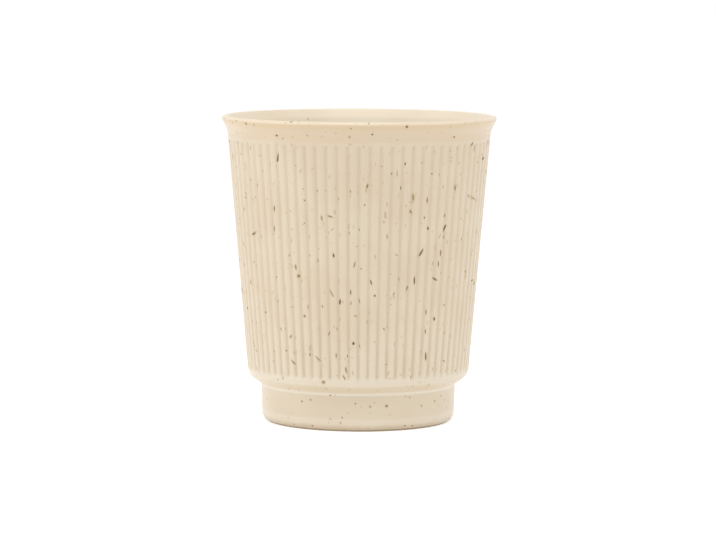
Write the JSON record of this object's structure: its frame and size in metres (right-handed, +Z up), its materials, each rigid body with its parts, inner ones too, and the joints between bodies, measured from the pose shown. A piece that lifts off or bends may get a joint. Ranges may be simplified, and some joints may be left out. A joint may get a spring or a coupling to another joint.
{
  "type": "handleless cup",
  "caption": "Handleless stoneware cup with a tapering fluted wall, a thin flared lip, a stepped-in foot ring and a speckled cream satin glaze, for hot or cold drinks.",
  "frame": {"origin": "middle of the face that the cup stands on", "axes": "+Z up along the cup's axis, towards the mouth; -Y towards the viewer of the picture"},
  "size_m": [0.0808, 0.0808, 0.09],
  "materials": {
    "bare_stoneware": "unglazed, fine sandy stoneware",
    "speckled_glaze": "satin cream glaze with brown iron specks",
    "liner_glaze": "satin cream glaze with few faint specks"
  },
  "bodies": {
    "root": {"stoneware_body": "bare_stoneware", "outer_glaze": "speckled_glaze", "liner_glaze": "liner_glaze", "base_glaze": "liner_glaze"}
  },
  "joints": []
}
